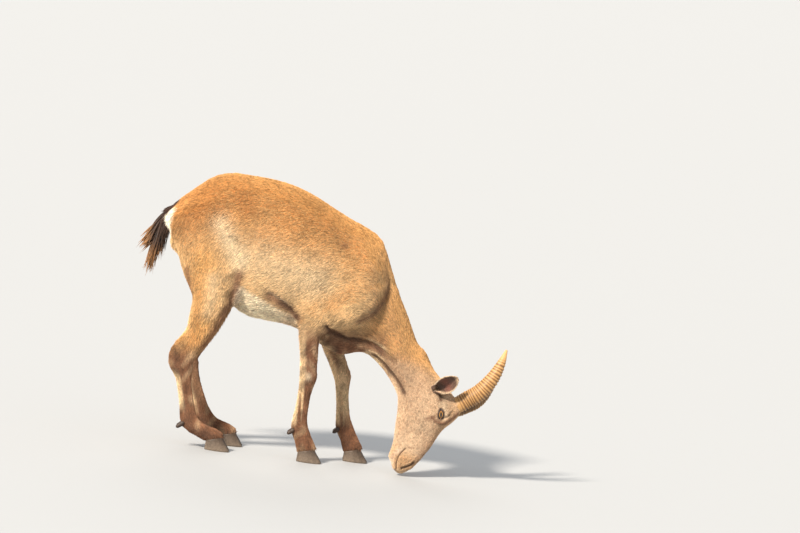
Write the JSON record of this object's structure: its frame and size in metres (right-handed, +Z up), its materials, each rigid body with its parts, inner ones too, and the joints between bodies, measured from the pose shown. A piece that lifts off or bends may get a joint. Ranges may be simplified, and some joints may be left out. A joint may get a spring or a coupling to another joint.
{
  "type": "alpine ibex",
  "caption": "Standing alpine ibex, head lowered to the ground, with short ridged horns swept back, cloven hooves and a tufted tail.",
  "frame": {"origin": "centre of the footprint of the bounding box, at the level of the hoof soles", "axes": "+Z up, the animal faces +X, its left side is +Y"},
  "size_m": [1.0548, 0.259, 0.7752],
  "materials": {
    "coat": "short dense hair, golden tan",
    "leg_coat": "short dense hair, brown",
    "face_coat": "very short hair, pale tan",
    "tail_hair": "long hair, dark brown with tan tips",
    "horn": "ridged, satin",
    "hoof": "worn, satin",
    "eye": "wet, glossy"
  },
  "bodies": {
    "root": {"torso": "coat", "neck": "coat", "head": "face_coat", "ear_right": "face_coat", "ear_left": "face_coat", "eye_right": "eye", "eye_left": "eye", "horn_right": "horn", "horn_left": "horn", "tail": "tail_hair", "hind_right_leg": "coat", "hind_right_cannon": "leg_coat", "hind_right_claw_outer": "hoof", "hind_right_claw_inner": "hoof", "hind_right_dewclaw_outer": "hoof", "hind_right_dewclaw_inner": "hoof", "hind_left_leg": "coat", "hind_left_cannon": "leg_coat", "hind_left_claw_outer": "hoof", "hind_left_claw_inner": "hoof", "hind_left_dewclaw_outer": "hoof", "hind_left_dewclaw_inner": "hoof", "fore_right_leg": "coat", "fore_right_cannon": "leg_coat", "fore_right_claw_outer": "hoof", "fore_right_claw_inner": "hoof", "fore_right_dewclaw_outer": "hoof", "fore_right_dewclaw_inner": "hoof", "fore_left_leg": "coat", "fore_left_cannon": "leg_coat", "fore_left_claw_outer": "hoof", "fore_left_claw_inner": "hoof", "fore_left_dewclaw_outer": "hoof", "fore_left_dewclaw_inner": "hoof"}
  },
  "joints": []
}
